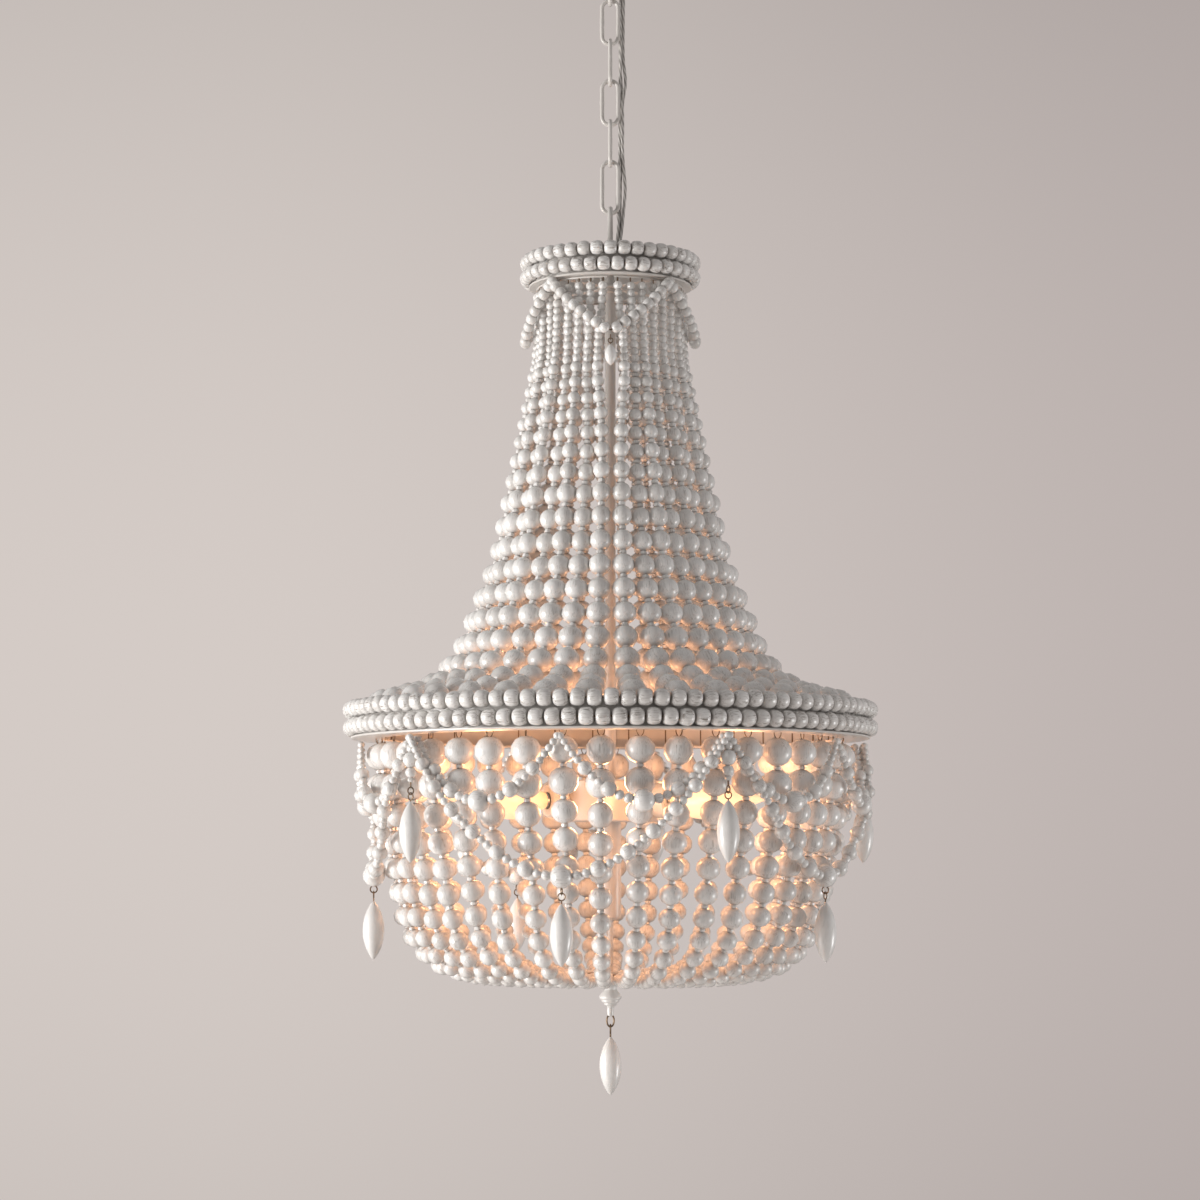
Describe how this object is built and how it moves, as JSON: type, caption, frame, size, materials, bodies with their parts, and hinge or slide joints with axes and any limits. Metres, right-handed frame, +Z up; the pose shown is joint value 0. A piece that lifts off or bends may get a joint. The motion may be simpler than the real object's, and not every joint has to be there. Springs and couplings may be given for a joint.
{
  "type": "chandelier",
  "caption": "Beaded chandelier on a chain: crown ring, cone of bead strands, two-row bead ring, swags with turned drops and a bowl of strands over lamps.",
  "frame": {"origin": "middle of the ceiling crossbar's top face, which lies against the ceiling", "axes": "+Z up to the ceiling, -Y towards the viewer of the picture, +X to the viewer's right"},
  "size_m": [0.5, 0.5, 1.114],
  "materials": {
    "whitewashed_wood": "matte whitewash",
    "white_steel": "satin paint",
    "zinc_steel": "zinc plated",
    "white_nylon": "matte",
    "clear_cord": "clear flexible sleeve",
    "white_ceramic": "glazed",
    "lamp_glass": "clear, lit warm"
  },
  "bodies": {
    "ceiling": {"ceiling_crossbar": "zinc_steel", "ceiling_canopy": "white_steel", "canopy_screw_left": "white_steel", "canopy_screw_right": "white_steel", "cord_grommet": "white_nylon", "terminal_block": "white_nylon", "canopy_loop": "white_steel", "lamp_cord": "clear_cord"},
    "chain_link_1": {"chain_link_1": "white_steel"},
    "chain_link_2": {"chain_link_2": "white_steel"},
    "chain_link_3": {"chain_link_3": "white_steel"},
    "chain_link_4": {"chain_link_4": "white_steel"},
    "chain_link_5": {"chain_link_5": "white_steel"},
    "chain_link_6": {"chain_link_6": "white_steel"},
    "fixture": {"top_loop": "white_steel", "center_stem": "white_steel", "top_ring_band": "white_steel", "mid_ring_band": "white_steel", "top_ring_beads_upper": "whitewashed_wood", "top_ring_beads_lower": "whitewashed_wood", "mid_ring_beads_upper": "whitewashed_wood", "mid_ring_beads_lower": "whitewashed_wood", "upper_strands_1": "whitewashed_wood", "upper_strands_2": "whitewashed_wood", "upper_strands_3": "whitewashed_wood", "upper_strands_4": "whitewashed_wood", "upper_strands_5": "whitewashed_wood", "upper_strands_6": "whitewashed_wood", "lower_strands_1": "whitewashed_wood", "lower_strands_2": "whitewashed_wood", "lower_strands_3": "whitewashed_wood", "lower_strands_4": "whitewashed_wood", "lower_strands_5": "whitewashed_wood", "top_garland": "whitewashed_wood", "short_garland": "whitewashed_wood", "long_garland": "whitewashed_wood", "lamp_drum": "white_steel", "lamp_cup_1": "white_ceramic", "lamp_cup_2": "white_ceramic", "lamp_cup_3": "white_ceramic", "candle_bulb_1": "lamp_glass", "candle_bulb_2": "lamp_glass", "candle_bulb_3": "lamp_glass", "bottom_hub": "white_steel", "finial": "whitewashed_wood"},
    "crown_drop_1": {"crown_drop_1": "whitewashed_wood"},
    "crown_drop_2": {"crown_drop_2": "whitewashed_wood"},
    "swag_drop_1": {"swag_drop_1": "whitewashed_wood"},
    "swag_drop_2": {"swag_drop_2": "whitewashed_wood"},
    "swag_drop_3": {"swag_drop_3": "whitewashed_wood"},
    "swag_drop_4": {"swag_drop_4": "whitewashed_wood"},
    "swag_drop_5": {"swag_drop_5": "whitewashed_wood"},
    "peak_drop_1": {"peak_drop_1": "whitewashed_wood"},
    "peak_drop_2": {"peak_drop_2": "whitewashed_wood"},
    "peak_drop_3": {"peak_drop_3": "whitewashed_wood"},
    "peak_drop_4": {"peak_drop_4": "whitewashed_wood"},
    "peak_drop_5": {"peak_drop_5": "whitewashed_wood"},
    "bottom_drop": {"bottom_drop": "whitewashed_wood"}
  },
  "joints": [
    {"name": "chain_swing_1", "type": "hinge", "parent": "ceiling", "child": "chain_link_1", "pos_m": [0, 0, -0.0426], "axis": [1, 0, 0], "range_deg": [-15, 15], "deforming": ["lamp_cord"]},
    {"name": "chain_swing_2", "type": "hinge", "parent": "chain_link_1", "child": "chain_link_2", "pos_m": [0, 0, -0.0818], "axis": [0, 1, 0], "range_deg": [-15, 15]},
    {"name": "chain_swing_3", "type": "hinge", "parent": "chain_link_2", "child": "chain_link_3", "pos_m": [0, 0, -0.121], "axis": [1, 0, 0], "range_deg": [-15, 15]},
    {"name": "chain_swing_4", "type": "hinge", "parent": "chain_link_3", "child": "chain_link_4", "pos_m": [0, 0, -0.1602], "axis": [0, 1, 0], "range_deg": [-15, 15]},
    {"name": "chain_swing_5", "type": "hinge", "parent": "chain_link_4", "child": "chain_link_5", "pos_m": [0, 0, -0.1994], "axis": [1, 0, 0], "range_deg": [-15, 15]},
    {"name": "chain_swing_6", "type": "hinge", "parent": "chain_link_5", "child": "chain_link_6", "pos_m": [0, 0, -0.2386], "axis": [0, 1, 0], "range_deg": [-15, 15]},
    {"name": "fixture_swing", "type": "hinge", "parent": "chain_link_6", "child": "fixture", "pos_m": [0, 0, -0.285], "axis": [1, 0, 0], "range_deg": [-15, 15]},
    {"name": "crown_drop_swing_1", "type": "hinge", "parent": "fixture", "child": "crown_drop_1", "pos_m": [0, -0.081, -0.4202], "axis": [0, -1, 0], "range_deg": [-5, 5]},
    {"name": "crown_drop_swing_2", "type": "hinge", "parent": "fixture", "child": "crown_drop_2", "pos_m": [0, 0.081, -0.4202], "axis": [0, 1, 0], "range_deg": [-5, 5]},
    {"name": "swag_drop_swing_1", "type": "hinge", "parent": "fixture", "child": "swag_drop_1", "pos_m": [-0.04273, -0.21581, -0.9271], "axis": [-0.1942, -0.981, 0], "range_deg": [-20, 20]},
    {"name": "swag_drop_swing_2", "type": "hinge", "parent": "fixture", "child": "swag_drop_2", "pos_m": [0.19204, -0.10733, -0.9271], "axis": [0.8729, -0.4879, 0], "range_deg": [-20, 20]},
    {"name": "swag_drop_swing_3", "type": "hinge", "parent": "fixture", "child": "swag_drop_3", "pos_m": [0.16142, 0.14948, -0.9271], "axis": [0.7337, 0.6794, 0], "range_deg": [-20, 20]},
    {"name": "swag_drop_swing_4", "type": "hinge", "parent": "fixture", "child": "swag_drop_4", "pos_m": [-0.09228, 0.19971, -0.9271], "axis": [-0.4195, 0.9078, 0], "range_deg": [-20, 20]},
    {"name": "swag_drop_swing_5", "type": "hinge", "parent": "fixture", "child": "swag_drop_5", "pos_m": [-0.21845, -0.02605, -0.9271], "axis": [-0.993, -0.1184, 0], "range_deg": [-20, 20]},
    {"name": "peak_drop_swing_1", "type": "hinge", "parent": "fixture", "child": "peak_drop_1", "pos_m": [-0.1761, -0.16307, -0.8398], "axis": [-0.7337, -0.6794, 0], "range_deg": [-20, 20]},
    {"name": "peak_drop_swing_2", "type": "hinge", "parent": "fixture", "child": "peak_drop_2", "pos_m": [0.10067, -0.21787, -0.8398], "axis": [0.4195, -0.9078, 0], "range_deg": [-20, 20]},
    {"name": "peak_drop_swing_3", "type": "hinge", "parent": "fixture", "child": "peak_drop_3", "pos_m": [0.23831, 0.02842, -0.8398], "axis": [0.993, 0.1184, 0], "range_deg": [-20, 20]},
    {"name": "peak_drop_swing_4", "type": "hinge", "parent": "fixture", "child": "peak_drop_4", "pos_m": [0.04662, 0.23543, -0.8398], "axis": [0.1942, 0.981, 0], "range_deg": [-20, 20]},
    {"name": "peak_drop_swing_5", "type": "hinge", "parent": "fixture", "child": "peak_drop_5", "pos_m": [-0.2095, 0.11709, -0.8398], "axis": [-0.8729, 0.4879, 0], "range_deg": [-20, 20]},
    {"name": "bottom_drop_swing", "type": "hinge", "parent": "fixture", "child": "bottom_drop", "pos_m": [0, 0, -1.051], "axis": [1, 0, 0], "range_deg": [-25, 25]}
  ]
}
